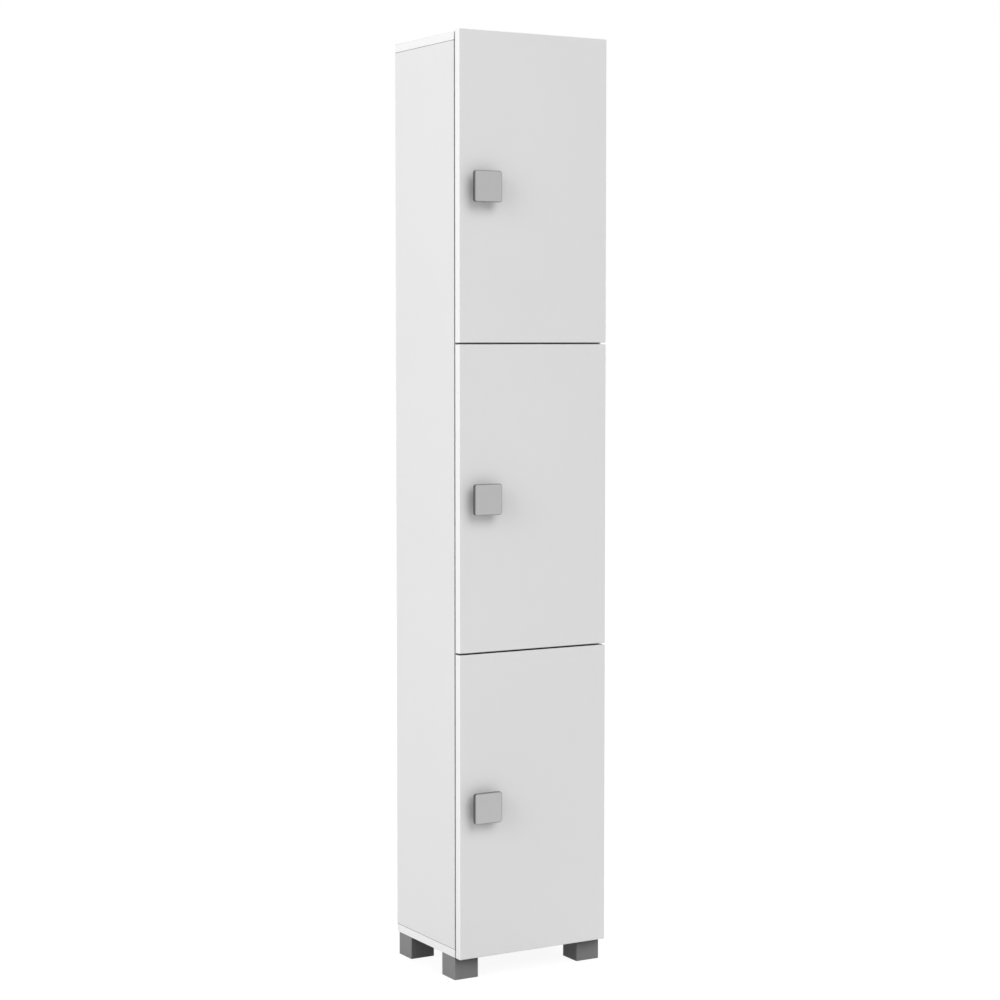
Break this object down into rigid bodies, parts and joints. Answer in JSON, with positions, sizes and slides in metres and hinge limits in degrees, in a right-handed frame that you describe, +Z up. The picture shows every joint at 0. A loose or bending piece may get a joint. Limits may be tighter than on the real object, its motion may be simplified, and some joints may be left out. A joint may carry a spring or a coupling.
{
  "type": "tall bathroom cabinet",
  "caption": "Slim tall free-standing cabinet with slab doors one above the other, square metal knobs and short square legs, for storing bathroom things.",
  "frame": {"origin": "on the floor, in the middle of the cabinet's width and of its depth over the knobs", "axes": "+Z up, -Y to the front, where the doors are, +X to the right as seen from the front"},
  "size_m": [0.3, 0.2574, 1.657],
  "materials": {
    "white_board": "white melamine-faced board, satin",
    "back_board": "thin white-faced fibreboard, satin",
    "knob_metal": "satin nickel",
    "leg_plastic": "grey, matte",
    "hinge_steel": "nickel-plated pressed steel",
    "screw_steel": "zinc-plated",
    "cam_zinc": "bare die-cast zinc"
  },
  "bodies": {
    "carcass": {"top_panel": "white_board", "bottom_panel": "white_board", "side_panel_left": "white_board", "side_panel_right": "white_board", "divider_lower": "white_board", "divider_upper": "white_board", "back_panel": "back_board", "leg_front_left": "leg_plastic", "leg_front_right": "leg_plastic", "leg_back_left": "leg_plastic", "leg_back_right": "leg_plastic", "loose_shelf_bottom": "white_board", "shelf_pin_bottom_front_left": "screw_steel", "shelf_pin_bottom_front_right": "screw_steel", "shelf_pin_bottom_back_left": "screw_steel", "shelf_pin_bottom_back_right": "screw_steel", "hinge_arm_bottom_lower": "hinge_steel", "hinge_plate_bottom_lower": "hinge_steel", "hinge_arm_bottom_upper": "hinge_steel", "hinge_plate_bottom_upper": "hinge_steel", "loose_shelf_middle": "white_board", "shelf_pin_middle_front_left": "screw_steel", "shelf_pin_middle_front_right": "screw_steel", "shelf_pin_middle_back_left": "screw_steel", "shelf_pin_middle_back_right": "screw_steel", "hinge_arm_middle_lower": "hinge_steel", "hinge_plate_middle_lower": "hinge_steel", "hinge_arm_middle_upper": "hinge_steel", "hinge_plate_middle_upper": "hinge_steel", "loose_shelf_top": "white_board", "shelf_pin_top_front_left": "screw_steel", "shelf_pin_top_front_right": "screw_steel", "shelf_pin_top_back_left": "screw_steel", "shelf_pin_top_back_right": "screw_steel", "hinge_arm_top_lower": "hinge_steel", "hinge_plate_top_lower": "hinge_steel", "hinge_arm_top_upper": "hinge_steel", "hinge_plate_top_upper": "hinge_steel"},
    "bottom_door": {"door_bottom": "white_board", "knob_bottom": "knob_metal", "hinge_cups_bottom": "hinge_steel"},
    "middle_door": {"door_middle": "white_board", "knob_middle": "knob_metal", "hinge_cups_middle": "hinge_steel"},
    "top_door": {"door_top": "white_board", "knob_top": "knob_metal", "hinge_cups_top": "hinge_steel"}
  },
  "joints": [
    {"name": "bottom_door_hinge", "type": "hinge", "parent": "carcass", "child": "bottom_door", "pos_m": [0.1426, -0.09915, 0.3085], "axis": [0, 0, 1], "range_deg": [0, 95]},
    {"name": "middle_door_hinge", "type": "hinge", "parent": "carcass", "child": "middle_door", "pos_m": [0.1426, -0.09915, 0.8485], "axis": [0, 0, 1], "range_deg": [0, 95]},
    {"name": "top_door_hinge", "type": "hinge", "parent": "carcass", "child": "top_door", "pos_m": [0.1426, -0.09915, 1.3885], "axis": [0, 0, 1], "range_deg": [0, 95]}
  ]
}
